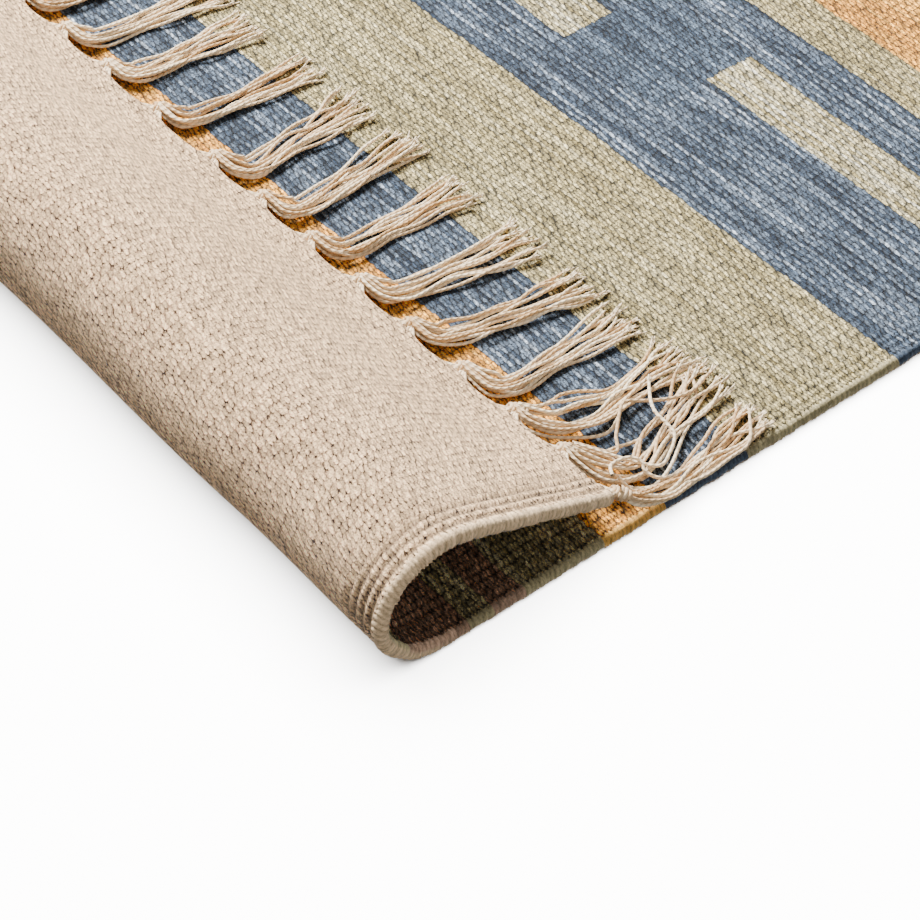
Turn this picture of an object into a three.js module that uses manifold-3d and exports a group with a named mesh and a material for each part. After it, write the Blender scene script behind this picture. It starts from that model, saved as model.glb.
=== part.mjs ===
// A flat-woven cotton rug that lies on the floor with one end folded back over its face.
// Both ends carry a fringe of knotted tassels: the folded end's tassels lie on the rug's face,
// the far end's tassels lie on the floor.
// Millimetres, +Z up. X runs across the rug, along the weft. Y runs along its length, from the
// fold to the far end. The origin is on the floor, at the middle of the rug as it lies.
import * as THREE from "three";
import { mergeVertices } from "three/addons/utils/BufferGeometryUtils.js";
import Module from "manifold-3d";

// Driving dimensions of the rug.
const RUG_WIDTH = 600;
const CLOTH_LENGTH = 900; // woven length, without the fringe
const CLOTH_THICKNESS = 5;
const FLAP_ARC = 163; // woven length that has left the floor: round the fold to the free end
const LIFT_REACH = 33; // from the fold's front to where the cloth meets the floor
const CORNER_PULL = 2.4; // how far the free corner at +X is drawn in over the rug
const CORNER_WIDTH = 120; // width of cloth that gives way to that pull
const GAP = 0.3; // clearance between pieces that touch

// Driving dimensions of the fringe.
const TASSEL_PITCH = 30;
const KNOT_DRIFT = 11.5; // how far the folded end's knots are tied towards +X on the near half
const DRIFT_START = -10; // where across the width that drift begins
const DRIFT_WIDTH = 60; // and the width over which it grows
const STRAND_LENGTH = 75; // from the knot's middle to the tip of a straight tassel
const STRAND_WIDTH = 2;
const STRAND_HEIGHT = 1.8;
const LOWER_STRANDS = 4; // a tassel lies as a lower layer with an upper one in its gaps
const UPPER_STRANDS = 3;
const KNOT = { width: 9, depth: 8, height: 6.6 };

// Places along Y, worked out so that the lying rug is centred on the origin.
const FLAT_RUN = CLOTH_LENGTH - FLAP_ARC;
const LYING_DEPTH = LIFT_REACH + FLAT_RUN + GAP + KNOT.depth / 2 + STRAND_LENGTH;
const FRONT_Y = -LYING_DEPTH / 2;
const LIFT_Y = FRONT_Y + LIFT_REACH;
const FAR_Y = LIFT_Y + FLAT_RUN;
const HALF_THICKNESS = CLOTH_THICKNESS / 2;
const FACE_Z = CLOTH_THICKNESS;

// Sections of the fold across the width, near side edge first. Each point is the middle of the
// cloth as [reach from the fold's front, height], from the heel on the floor round to the free end.
const FOLD_SECTIONS = [
  {
    x: 300, heel: [14, 7], front: [2.5, 23], shoulder: [9.5, 40.4], crest: [31, 47.6],
    slope: [66, 34.8], rest: [95, 22.3], end: [112, 16],
  },
  {
    x: 215, heel: [17, 6.5], front: [6.5, 20.5], shoulder: [12.5, 37.8], crest: [32, 46],
    slope: [65, 33.4], rest: [95, 13.5], end: [117, 8.4],
  },
  {
    x: 60, heel: [22, 6.3], front: [12, 19], shoulder: [16.5, 40.1], crest: [35, 50.3],
    slope: [67, 37], rest: [98, 13.5], end: [120, 8.4],
  },
  {
    x: -80, heel: [22, 6.3], front: [12, 19], shoulder: [17, 38.7], crest: [37, 48.5],
    slope: [71, 35], rest: [101, 13], end: [123, 8.4],
  },
  {
    x: -220, heel: [18, 6.5], front: [7.5, 20], shoulder: [13, 37.5], crest: [33, 45.3],
    slope: [67, 32.5], rest: [97, 13.5], end: [119, 8.4],
  },
  {
    x: -300, heel: [15, 7], front: [4, 22], shoulder: [11, 39.1], crest: [32, 46.2],
    slope: [67, 34.9], rest: [97, 20], end: [114, 13.5],
  },
];
const FOLD_POINTS = ["heel", "front", "shoulder", "crest", "slope", "rest", "end"];

// Steps of the cloth's mesh.
const STEPS_ACROSS = 14;
const STEPS_ROUND_FOLD = 20;
const STEPS_PER_SPAN = 12; // fine steps that measure the length round the fold
const FLAT_RUN_ROWS = [1, 0.72, 0.3]; // shares of the flat run, from the far end to the fold

// How each tassel of the folded end lies: it leaves its knot along +X, turns after the sweep and
// runs along +Y to its tips. The first three, at the near corner, are pulled about more.
const USUAL_LAY = { sweep: 15, turn: 6, tipX: 17.5, tipY: 63, spread: 9 };
const CORNER_LAYS = [
  { sweep: 3, turn: 12, tipX: -1, tipY: 71, spread: 6 },
  { sweep: 16, turn: 15, tipX: 2, tipY: 67, spread: 7.5 },
  { sweep: 17, turn: 15, tipX: 10, tipY: 70, spread: 7.5 },
];
const LAY_SWAY = { sweep: 1.4, tipX: 2.2, tipY: 3.5 }; // unevenness from tassel to tassel
const FAR_SWAY = 3;

const COTTON_COLOURS = { cloth: 0xbdb59c, fringe: 0xe0d4c0 };
const COTTON_ROUGHNESS = 0.92;

const wasm = await Module();
wasm.setup();

const cotton = (name, color) =>
  new THREE.MeshStandardMaterial({ name, color, roughness: COTTON_ROUGHNESS, metalness: 0 });
const materials = {
  cloth: cotton("printed_cotton", COTTON_COLOURS.cloth),
  fringe: cotton("natural_cotton", COTTON_COLOURS.fringe),
};

const smooth = (t) => t * t * (3 - 2 * t);
const clamp01 = (t) => Math.min(1, Math.max(0, t));

// The fold's control points at a place across the width, eased between the two nearest sections.
function controlPoints(x) {
  let row = 0;
  while (row < FOLD_SECTIONS.length - 2 && x < FOLD_SECTIONS[row + 1].x) row += 1;
  const [a, b] = [FOLD_SECTIONS[row], FOLD_SECTIONS[row + 1]];
  const share = smooth(clamp01((a.x - x) / (a.x - b.x)));
  const between = FOLD_POINTS.map((name) => [0, 1].map((k) => a[name][k] + share * (b[name][k] - a[name][k])));
  const [heel] = between;
  const beforeLift = [2 * LIFT_REACH - heel[0], heel[1]]; // keeps the cloth level where it lifts
  const [rest, end] = between.slice(-2);
  const pastEnd = [2 * end[0] - rest[0], 2 * end[1] - rest[1]];
  return [beforeLift, [LIFT_REACH, HALF_THICKNESS], ...between, pastEnd];
}

// One coordinate of a Catmull-Rom span between b and c.
function spanValue(a, b, c, d, t) {
  return 0.5 * (2 * b + (c - a) * t + (2 * a - 5 * b + 4 * c - d) * t ** 2 + (3 * b - a - 3 * c + d) * t ** 3);
}

// The middle of the folded cloth at a place across the width, as a fine line of [reach, height].
function foldLine(x) {
  const points = controlPoints(x);
  const line = [];
  for (let span = 1; span < points.length - 2; span += 1) {
    const [a, b, c, d] = points.slice(span - 1, span + 3);
    for (let step = 0; step < STEPS_PER_SPAN; step += 1) {
      const t = step / STEPS_PER_SPAN;
      line.push([0, 1].map((k) => spanValue(a[k], b[k], c[k], d[k], t)));
    }
  }
  line.push(points[points.length - 2]);
  return line;
}

// Point and direction on a fold line at a length along it, from where the cloth leaves the floor.
function alongLine(line, length) {
  let left = length;
  for (let i = 1; i < line.length; i += 1) {
    const step = [line[i][0] - line[i - 1][0], line[i][1] - line[i - 1][1]];
    const size = Math.hypot(...step);
    if (left <= size || i === line.length - 1) {
      const share = left / size;
      return {
        reach: line[i - 1][0] + share * step[0],
        height: line[i - 1][1] + share * step[1],
        direction: [step[0] / size, step[1] / size],
      };
    }
    left -= size;
  }
  return null;
}

// How far the free corner is drawn in at a place on the flap.
function cornerPull(x, length) {
  const nearCorner = smooth(clamp01(1 - (RUG_WIDTH / 2 - x) / CORNER_WIDTH));
  return CORNER_PULL * nearCorner * (length / FLAP_ARC) ** 2;
}

// The rug's cloth

// Rows of cloth along its length: the flat run's rows, then the steps round the fold.
const clothRows = [
  ...FLAT_RUN_ROWS.map((share) => -share * FLAT_RUN),
  ...Array.from({ length: STEPS_ROUND_FOLD + 1 }, (_, i) => (i / STEPS_ROUND_FOLD) * FLAP_ARC),
];

// A point on the cloth's face (side +1) or back (side -1). Lengths below zero are on the flat run.
function clothPoint(x, line, length, side) {
  if (length < 0) {
    return [x, LIFT_Y - length, HALF_THICKNESS + side * HALF_THICKNESS];
  }
  const { reach, height, direction } = alongLine(line, length);
  const faceNormal = length === 0 ? [0, 1] : [direction[1], -direction[0]];
  return [
    x - cornerPull(x, length),
    FRONT_Y + reach + side * HALF_THICKNESS * faceNormal[0],
    height + side * HALF_THICKNESS * faceNormal[1],
  ];
}

function clothGeometry() {
  const positions = [];
  for (const side of [1, -1]) {
    for (let column = 0; column <= STEPS_ACROSS; column += 1) {
      const x = RUG_WIDTH / 2 - (column / STEPS_ACROSS) * RUG_WIDTH;
      const line = foldLine(x);
      for (const length of clothRows) positions.push(...clothPoint(x, line, length, side));
    }
  }
  const rows = clothRows.length;
  const at = (back, column, row) => (back * (STEPS_ACROSS + 1) + column) * rows + row;
  const triangles = [];
  const quad = (a, b, c, d) => triangles.push(a, b, c, a, c, d);
  for (let column = 0; column < STEPS_ACROSS; column += 1) {
    for (let row = 0; row < rows - 1; row += 1) {
      quad(at(0, column, row), at(0, column + 1, row), at(0, column + 1, row + 1), at(0, column, row + 1));
      quad(at(1, column, row), at(1, column, row + 1), at(1, column + 1, row + 1), at(1, column + 1, row));
    }
    const last = rows - 1;
    quad(at(0, column, 0), at(1, column, 0), at(1, column + 1, 0), at(0, column + 1, 0));
    quad(at(0, column, last), at(0, column + 1, last), at(1, column + 1, last), at(1, column, last));
  }
  for (let row = 0; row < rows - 1; row += 1) {
    const far = STEPS_ACROSS;
    quad(at(0, 0, row), at(0, 0, row + 1), at(1, 0, row + 1), at(1, 0, row));
    quad(at(0, far, row), at(1, far, row), at(1, far, row + 1), at(0, far, row + 1));
  }
  const geometry = new THREE.BufferGeometry();
  geometry.setAttribute("position", new THREE.Float32BufferAttribute(positions, 3));
  geometry.setIndex(triangles);
  return geometry;
}

// The tassels

// A closed geometry as a solid that can be joined to others.
function solidOf(geometry) {
  const bare = new THREE.BufferGeometry();
  bare.setAttribute("position", geometry.getAttribute("position"));
  if (geometry.index) bare.setIndex(geometry.index);
  const merged = mergeVertices(bare, 1e-4);
  return new wasm.Manifold(
    new wasm.Mesh({
      numProp: 3,
      vertProperties: new Float32Array(merged.getAttribute("position").array),
      triVerts: new Uint32Array(merged.index.array),
    }),
  );
}

function geometryOf(solid) {
  const { vertProperties, triVerts } = solid.getMesh();
  const geometry = new THREE.BufferGeometry();
  geometry.setAttribute("position", new THREE.BufferAttribute(vertProperties, 3));
  geometry.setIndex(new THREE.BufferAttribute(triVerts, 1));
  return geometry;
}

// An overhand knot of gathered warp ends.
function knotGeometry(place) {
  const geometry = new THREE.SphereGeometry(0.5, 6, 4);
  geometry.rotateX(Math.PI / 2);
  geometry.scale(KNOT.width, KNOT.depth, KNOT.height);
  return geometry.translate(place.x, place.y, place.z);
}

// A strand of three sides, with a flat side down, whose base follows the route.
function strandGeometry(route) {
  const positions = [];
  route.forEach((point, i) => {
    const ahead = route[Math.min(i + 1, route.length - 1)];
    const behind = route[Math.max(i - 1, 0)];
    const across = new THREE.Vector3(behind.y - ahead.y, ahead.x - behind.x, 0).setLength(STRAND_WIDTH / 2);
    positions.push(point.x + across.x, point.y + across.y, point.z);
    positions.push(point.x - across.x, point.y - across.y, point.z);
    positions.push(point.x, point.y, point.z + STRAND_HEIGHT);
  });
  const triangles = [0, 1, 2];
  for (let ring = 0; ring < route.length - 1; ring += 1) {
    for (let corner = 0; corner < 3; corner += 1) {
      const a = ring * 3 + corner;
      const b = ring * 3 + ((corner + 1) % 3);
      triangles.push(a, a + 3, b + 3, a, b + 3, b);
    }
  }
  const tip = (route.length - 1) * 3;
  triangles.push(tip, tip + 2, tip + 1);
  const geometry = new THREE.BufferGeometry();
  geometry.setAttribute("position", new THREE.Float32BufferAttribute(positions, 3));
  geometry.setIndex(triangles);
  return geometry;
}

// The strands of a tassel, each with its place across the bundle from -1 to 1 and its layer.
const strandPlaces = [
  ...Array.from({ length: LOWER_STRANDS }, (_, i) => ({ across: (2 * i) / (LOWER_STRANDS - 1) - 1, layer: 0 })),
  ...Array.from({ length: UPPER_STRANDS }, (_, i) => ({
    across: (2 * (i + 0.5)) / UPPER_STRANDS - 1,
    layer: 1,
  })),
];

// One strand's route from a tassel's middle line, whose points hold their own half width.
function strandRoute(middle, { across, layer }, groundZ) {
  return middle.map((point, i) => {
    const ahead = middle[Math.min(i + 1, middle.length - 1)];
    const behind = middle[Math.max(i - 1, 0)];
    const left = new THREE.Vector2(behind.y - ahead.y, ahead.x - behind.x).setLength(point.half * across);
    const raised = layer * point.stacked * (STRAND_HEIGHT + GAP);
    return new THREE.Vector3(point.x + left.x, point.y + left.y, groundZ + point.lift + raised);
  });
}

function tasselMesh(name, knot, middle, groundZ) {
  let solid = solidOf(knotGeometry(knot));
  for (const place of strandPlaces) {
    solid = solid.add(solidOf(strandGeometry(strandRoute(middle, place, groundZ))));
  }
  const mesh = new THREE.Mesh(geometryOf(solid), materials.fringe);
  mesh.name = name;
  return mesh;
}

// The middle of a knot that sits just off the cloth's end, clear of what lies below it.
function knotPlace(end, outward, groundZ) {
  const halves = [KNOT.depth / 2, KNOT.height / 2];
  const reach = Math.hypot(halves[0] * outward[0], halves[1] * outward[1]) + GAP;
  const z = Math.max(end.z + reach * outward[1], groundZ + KNOT.height / 2);
  return new THREE.Vector3(end.x, end.y + reach * outward[0], z);
}

// A tassel of the folded end, lying on the rug's face.
function foldTassel(index) {
  const evenX = RUG_WIDTH / 2 - (index + 0.5) * TASSEL_PITCH;
  const x = evenX + KNOT_DRIFT * smooth(clamp01((evenX - DRIFT_START) / DRIFT_WIDTH));
  const { reach, height, direction } = alongLine(foldLine(x), FLAP_ARC);
  const end = new THREE.Vector3(x - cornerPull(x, FLAP_ARC), FRONT_Y + reach, height);
  const groundZ = FACE_Z + GAP;
  const knot = knotPlace(end, direction, groundZ);
  const lay = { ...(CORNER_LAYS[index] ?? USUAL_LAY) };
  if (index >= CORNER_LAYS.length) {
    lay.sweep += LAY_SWAY.sweep * Math.sin(2.3 * index);
    lay.tipX += LAY_SWAY.tipX * Math.sin(1.7 * index + 1);
    lay.tipY += LAY_SWAY.tipY * Math.cos(2.9 * index);
  }
  const rootLift = knot.z - groundZ - STRAND_HEIGHT;
  const place = (dx, dy, lift, half, stacked) => ({ x: knot.x + dx, y: knot.y + dy, lift, half, stacked });
  const middle = [
    place(0, 0, rootLift, 3.2, 1),
    place(0.32 * lay.sweep, 1, 0.75 * rootLift, 3.4, 1),
    place(0.72 * lay.sweep, 0.42 * lay.turn, 0.15 * rootLift, 4.2, 1),
    place(lay.sweep, lay.turn + 3, 0, 4.6, 1),
    place((lay.sweep + lay.tipX) / 2, 0.5 * (lay.turn + lay.tipY), 0, 6.2, 1),
    place(lay.tipX, lay.tipY, 0, lay.spread, 0),
  ];
  return tasselMesh(`fold_tassel_${String(index + 1).padStart(2, "0")}`, knot, middle, groundZ);
}

// A tassel of the far end, lying straight out on the floor.
function farTassel(index) {
  const x = RUG_WIDTH / 2 - (index + 0.5) * TASSEL_PITCH;
  const end = new THREE.Vector3(x, FAR_Y, HALF_THICKNESS);
  const knot = knotPlace(end, [1, 0], 0);
  const sway = FAR_SWAY * Math.sin(1.9 * index + 0.4);
  const tipSway = FAR_SWAY * Math.sin(2.6 * index);
  const rootLift = KNOT.height / 2 - STRAND_HEIGHT;
  const place = (dx, dy, lift, half, stacked) => ({ x: knot.x + dx, y: knot.y + dy, lift, half, stacked });
  const middle = [
    place(0, 0, rootLift, 3.2, 1),
    place(sway, 0.4 * STRAND_LENGTH, 0, 5.4, 1),
    place(tipSway, STRAND_LENGTH - FAR_SWAY / 2, 0, 9.2, 0),
  ];
  return tasselMesh(`far_tassel_${String(index + 1).padStart(2, "0")}`, knot, middle, 0);
}

const rug = new THREE.Group();

const cloth = new THREE.Mesh(clothGeometry(), materials.cloth);
cloth.name = "rug_cloth";
rug.add(cloth);

const foldFringe = new THREE.Group();
const farFringe = new THREE.Group();
for (let index = 0; index < RUG_WIDTH / TASSEL_PITCH; index += 1) {
  foldFringe.add(foldTassel(index));
  farFringe.add(farTassel(index));
}
rug.add(foldFringe, farFringe);

export default rug;
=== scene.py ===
import math

import bpy
import numpy as np
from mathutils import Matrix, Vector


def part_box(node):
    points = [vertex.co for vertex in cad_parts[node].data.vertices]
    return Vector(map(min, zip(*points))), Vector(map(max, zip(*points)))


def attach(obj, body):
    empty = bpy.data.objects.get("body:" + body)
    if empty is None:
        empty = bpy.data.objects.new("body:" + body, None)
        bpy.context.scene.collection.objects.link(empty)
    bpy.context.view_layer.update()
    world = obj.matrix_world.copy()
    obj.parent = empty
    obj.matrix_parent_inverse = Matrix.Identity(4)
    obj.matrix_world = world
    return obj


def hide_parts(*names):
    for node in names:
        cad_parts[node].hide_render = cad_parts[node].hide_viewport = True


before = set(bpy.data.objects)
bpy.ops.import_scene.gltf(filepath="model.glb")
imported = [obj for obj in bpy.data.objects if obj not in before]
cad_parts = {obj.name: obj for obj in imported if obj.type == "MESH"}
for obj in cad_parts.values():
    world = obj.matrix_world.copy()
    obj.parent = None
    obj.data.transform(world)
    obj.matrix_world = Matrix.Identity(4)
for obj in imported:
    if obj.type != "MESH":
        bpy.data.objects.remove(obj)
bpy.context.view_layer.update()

# The woven cloth
# One flat-woven length of thick cotton, printed in bands on its face and natural on its back.
# Its first end is folded back over the face in a loose loop, so the flap shows the natural back.

MM = 0.001
CLOTH_WIDTH = 600
CLOTH_LENGTH = 900
HALF_THICKNESS = 2.5
FLAP_ARC = 163
LIFT_REACH = 33
CORNER_PULL = 2.4
CORNER_WIDTH = 120
EDGE = CLOTH_WIDTH / 2
FLAT_RUN = CLOTH_LENGTH - FLAP_ARC
FAR_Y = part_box("rug_cloth")[1][1] / MM
LIFT_Y = FAR_Y - FLAT_RUN
FRONT_Y = LIFT_Y - LIFT_REACH

# Sections of the fold across the width, as [reach from the fold's front, height] of the cloth's middle.
FOLD_SECTIONS = [
    {"x": 300, "heel": (14, 7), "front": (2.5, 23), "shoulder": (9.5, 40.4), "crest": (31, 47.6),
     "slope": (66, 34.8), "rest": (95, 22.3), "end": (112, 16)},
    {"x": 215, "heel": (17, 6.5), "front": (6.5, 20.5), "shoulder": (12.5, 37.8), "crest": (32, 46),
     "slope": (65, 33.4), "rest": (95, 13.5), "end": (117, 8.4)},
    {"x": 60, "heel": (22, 6.3), "front": (12, 19), "shoulder": (16.5, 40.1), "crest": (35, 50.3),
     "slope": (67, 37), "rest": (98, 13.5), "end": (120, 8.4)},
    {"x": -80, "heel": (22, 6.3), "front": (12, 19), "shoulder": (17, 38.7), "crest": (37, 48.5),
     "slope": (71, 35), "rest": (101, 13), "end": (123, 8.4)},
    {"x": -220, "heel": (18, 6.5), "front": (7.5, 20), "shoulder": (13, 37.5), "crest": (33, 45.3),
     "slope": (67, 32.5), "rest": (97, 13.5), "end": (119, 8.4)},
    {"x": -300, "heel": (15, 7), "front": (4, 22), "shoulder": (11, 39.1), "crest": (32, 46.2),
     "slope": (67, 34.9), "rest": (97, 20), "end": (114, 13.5)},
]
FOLD_POINTS = ("heel", "front", "shoulder", "crest", "slope", "rest", "end")
SPAN_STEPS = 24
STATIONS = (121, 241)


def ease(t):
    t = np.clip(t, 0, 1)
    return t * t * (3 - 2 * t)


def spline(points, steps):
    """A Catmull-Rom line through points after the first and before the last, with steps to a span."""
    points = np.asarray(points, float)
    t = np.linspace(0, 1, steps, endpoint=False)[:, None]
    spans = []
    for a, b, c, d in zip(points, points[1:], points[2:], points[3:]):
        spans.append(0.5 * (2 * b + (c - a) * t + (2 * a - 5 * b + 4 * c - d) * t**2
                            + (3 * b - a - 3 * c + d) * t**3))
    return np.concatenate(spans + [points[-2:-1]])


def fold_section(x, lengths):
    """The middle of the folded cloth at a place across the width: [reach, height] at each length."""
    rows = FOLD_SECTIONS
    row = next((i for i in range(len(rows) - 2) if x >= rows[i + 1]["x"]), len(rows) - 2)
    near, far = rows[row], rows[row + 1]
    share = ease((near["x"] - x) / (near["x"] - far["x"]))
    points = [np.add(near[name], share * np.subtract(far[name], near[name])) for name in FOLD_POINTS]
    before_lift = (2 * LIFT_REACH - points[0][0], points[0][1])
    past_end = 2 * points[-1] - points[-2]
    line = spline([before_lift, (LIFT_REACH, HALF_THICKNESS), *points, past_end], SPAN_STEPS)
    line = np.concatenate([line, [past_end]])
    along = np.concatenate([[0], np.cumsum(np.linalg.norm(np.diff(line, axis=0), axis=1))])
    return np.stack([np.interp(lengths, along, line[:, k]) for k in (0, 1)], axis=-1)


STATION_XS = np.linspace(-EDGE, EDGE, STATIONS[0])
STATION_LENGTHS = np.linspace(0, FLAP_ARC, STATIONS[1])
FOLD_GRID = np.array([fold_section(x, STATION_LENGTHS) for x in STATION_XS])
FOLD_SLOPES = np.gradient(FOLD_GRID, STATION_LENGTHS, axis=1)
FOLD_SLOPES /= np.linalg.norm(FOLD_SLOPES, axis=2, keepdims=True)


def on_grid(grid, x, length):
    """Values of a station grid at places across the width and lengths round the fold."""
    i = np.clip((x + EDGE) / CLOTH_WIDTH * (len(STATION_XS) - 1), 0, len(STATION_XS) - 1.001)
    j = np.clip(length / FLAP_ARC * (len(STATION_LENGTHS) - 1), 0, len(STATION_LENGTHS) - 1.001)
    i0, j0 = i.astype(int), j.astype(int)
    u, v = (i - i0)[..., None], (j - j0)[..., None]
    low = grid[i0, j0] * (1 - v) + grid[i0, j0 + 1] * v
    high = grid[i0 + 1, j0] * (1 - v) + grid[i0 + 1, j0 + 1] * v
    return low * (1 - u) + high * u


def on_cloth(x, length, off):
    """Points of the cloth in millimetres: off is the height from its middle, towards the face.

    Lengths run from 0 where the cloth leaves the floor to FLAP_ARC at the free end of the flap, and
    below zero along the flat run."""
    x, length, off = np.broadcast_arrays(*(np.asarray(v, float) for v in (x, length, off)))
    middle = on_grid(FOLD_GRID, x, length)
    slope = on_grid(FOLD_SLOPES, x, length)
    lifted = length > 0
    pull = CORNER_PULL * ease(1 - (EDGE - x) / CORNER_WIDTH) * (np.maximum(length, 0) / FLAP_ARC) ** 2
    y = np.where(lifted, FRONT_Y + middle[..., 0] + off * slope[..., 1], LIFT_Y - length)
    z = np.where(lifted, middle[..., 1] - off * slope[..., 0], HALF_THICKNESS + off)
    return np.stack([x - pull, y, z], axis=-1)


def mesh_piece(name, vertices, quads, uv, **values):
    """A smooth mesh from arrays in millimetres, with uv for each corner of the quads, in millimetres too,
    and a value for each vertex in each named attribute."""
    mesh = bpy.data.meshes.new(name)
    mesh.from_pydata((vertices * MM).tolist(), [], quads.tolist())
    mesh.polygons.foreach_set("use_smooth", np.ones(len(mesh.polygons), bool))
    mesh.uv_layers.new(name="yarn").data.foreach_set("uv", (uv * MM).ravel())
    for attribute, data in values.items():
        mesh.attributes.new(attribute, "FLOAT", "POINT").data.foreach_set("value", data)
    piece = bpy.data.objects.new(name, mesh)
    bpy.context.collection.objects.link(piece)
    return piece


# Knots of the fringe across the width: even at the far end, drawn towards +X on the near half of the fold's end.
TASSEL_PITCH = 30
TASSELS = int(CLOTH_WIDTH / TASSEL_PITCH)
KNOT_DRIFT = 11.5
DRIFT_START = -10
DRIFT_WIDTH = 60
far_knot_xs = EDGE - (np.arange(TASSELS) + 0.5) * TASSEL_PITCH
fold_knot_xs = far_knot_xs + KNOT_DRIFT * ease((far_knot_xs - DRIFT_START) / DRIFT_WIDTH)

# The bands are placed by their distance along the cloth from the first blue band's edge, which lies this far
# behind the fold's front.
FIRST_BAND_REACH = 126
BAND_START = LIFT_REACH - FIRST_BAND_REACH
SELVEDGE_INSET = 2
EDGE_STRIP = 24
INNER_COLUMNS = 70
FLAT_ROWS = 160
FOLD_ROWS = 74
END_ROW_GAP = 7
EDGE_RIBS = 5
EDGE_RIB_PITCH = 4
EDGE_RIB_HEIGHT = 0.7
END_ROUNDING = np.array([0, 0.5, 1.4, 2.5])
SCALLOP = 1.6
SCALLOP_WIDTH = 14
SCALLOP_LENGTH = 10


def scallop(x, knot_xs):
    """How far the cloth's end draws back between the knots."""
    return SCALLOP * ease(np.abs(x[:, None] - knot_xs[None, :]).min(axis=1) / SCALLOP_WIDTH)


edge_columns = np.arange(0, EDGE_STRIP, 1.0)
half_columns = np.concatenate([edge_columns, np.linspace(EDGE_STRIP, EDGE - SELVEDGE_INSET, INNER_COLUMNS)])
columns = EDGE - SELVEDGE_INSET - half_columns
columns = np.concatenate([columns, -columns[-2::-1]])
rows = np.concatenate([
    -FLAT_RUN + END_ROUNDING,
    np.linspace(-FLAT_RUN + END_ROW_GAP, 0, FLAT_ROWS),
    np.linspace(0, FLAP_ARC - END_ROUNDING[-1], FOLD_ROWS)[1:],
    FLAP_ARC - END_ROUNDING[-2::-1],
])
near_fold_end = ease((rows - FLAP_ARC + SCALLOP_LENGTH) / SCALLOP_LENGTH)
near_far_end = ease((SCALLOP_LENGTH - FLAT_RUN - rows) / SCALLOP_LENGTH)
lengths = (rows[:, None] - near_fold_end[:, None] * scallop(columns, fold_knot_xs)[None, :]
           + near_far_end[:, None] * scallop(columns, far_knot_xs)[None, :])
to_end = np.minimum(rows + FLAT_RUN, FLAP_ARC - rows)
fullness = np.sqrt(1 - (1 - np.clip(to_end / END_ROUNDING[-1], 0.02, 1)) ** 2)
from_edge = EDGE - np.abs(columns)
furrows = np.sin(math.pi * from_edge / EDGE_RIB_PITCH) ** 2 * ease(EDGE_RIBS - from_edge / EDGE_RIB_PITCH)
half = HALF_THICKNESS * fullness[:, None] - EDGE_RIB_HEIGHT * furrows[None, :]
face_points = on_cloth(columns[None, :], lengths, half)
back_points = on_cloth(columns[None, ::-1], lengths[:, ::-1], -half[:, ::-1])
ring = np.concatenate([face_points, back_points], axis=1)
around = ring.shape[1]
numbers = np.arange(ring.shape[0] * around).reshape(ring.shape[:2])
next_round = np.roll(numbers, -1, axis=1)
walls = np.stack([numbers[:-1], numbers[1:], next_round[1:], next_round[:-1]], axis=-1).reshape(-1, 4)
caps = []
for end, order in ((0, (0, 1, 2, 3)), (-1, (3, 2, 1, 0))):
    face, back = numbers[end, :len(columns)], numbers[end, :len(columns) - 1:-1]
    caps.append(np.stack([face[:-1], face[1:], back[1:], back[:-1]], axis=-1)[:, order])
cloth_uv = np.stack(np.broadcast_arrays(
    np.concatenate([columns, columns[::-1]])[None, :],
    BAND_START - np.concatenate([lengths, lengths[:, ::-1]], axis=1)), axis=-1)
on_face = np.broadcast_to((np.arange(around) < len(columns)).astype(float), ring.shape[:2])
# The furrow value is high in the valleys between the edge ribs, where the material paints shade on the back.
in_furrow = np.broadcast_to(np.concatenate([furrows, furrows[::-1]]), ring.shape[:2])
cloth_quads = np.concatenate([walls, *caps])
cloth = mesh_piece("woven_cloth", ring.reshape(-1, 3), cloth_quads, cloth_uv.reshape(-1, 2)[cloth_quads],
                   face=on_face.ravel(), furrow=in_furrow.ravel())


def to_linear(colour):
    """An sRGB hex colour as linear RGBA."""
    parts = [int(colour[i:i + 2], 16) / 255 for i in (1, 3, 5)]
    return [p / 12.92 if p <= 0.04045 else ((p + 0.055) / 1.055) ** 2.4 for p in parts] + [1]


def add(tree, kind, *values, inputs={}, **settings):
    """Adds a node with its settings, and sets or links its inputs in order or by name.

    A node stands for its first output, and None leaves an input as it is."""
    node = tree.nodes.new("ShaderNode" + kind)
    for name, value in settings.items():
        setattr(node, name, value)
    for place, value in [*enumerate(values), *inputs.items()]:
        if isinstance(value, bpy.types.Node):
            value = value.outputs[0]
        if isinstance(value, bpy.types.NodeSocket):
            tree.links.new(value, node.inputs[place])
        elif value is not None:
            node.inputs[place].default_value = value
    return node


COTTON_ROUGHNESS = 0.95
COTTON_GLOSS = 0.1
COTTON_SHEEN = 0.1


def cotton(name, surface_of, relief):
    """A cotton material: matt, with the faint soft sheen of its fibres. surface_of adds the nodes of its
    pattern, and gives their colour and height."""
    material = bpy.data.materials.new(name)
    material.use_nodes = True
    tree = material.node_tree
    tree.nodes.clear()
    colour, height = surface_of(tree)
    normal = add(tree, "Bump", inputs={"Strength": 1.0, "Distance": relief * MM, "Height": height})
    surface = add(tree, "BsdfPrincipled", inputs={
        "Base Color": colour, "Roughness": COTTON_ROUGHNESS, "Specular IOR Level": COTTON_GLOSS,
        "Sheen Weight": COTTON_SHEEN, "Normal": normal})
    add(tree, "OutputMaterial", surface)
    return material


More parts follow.
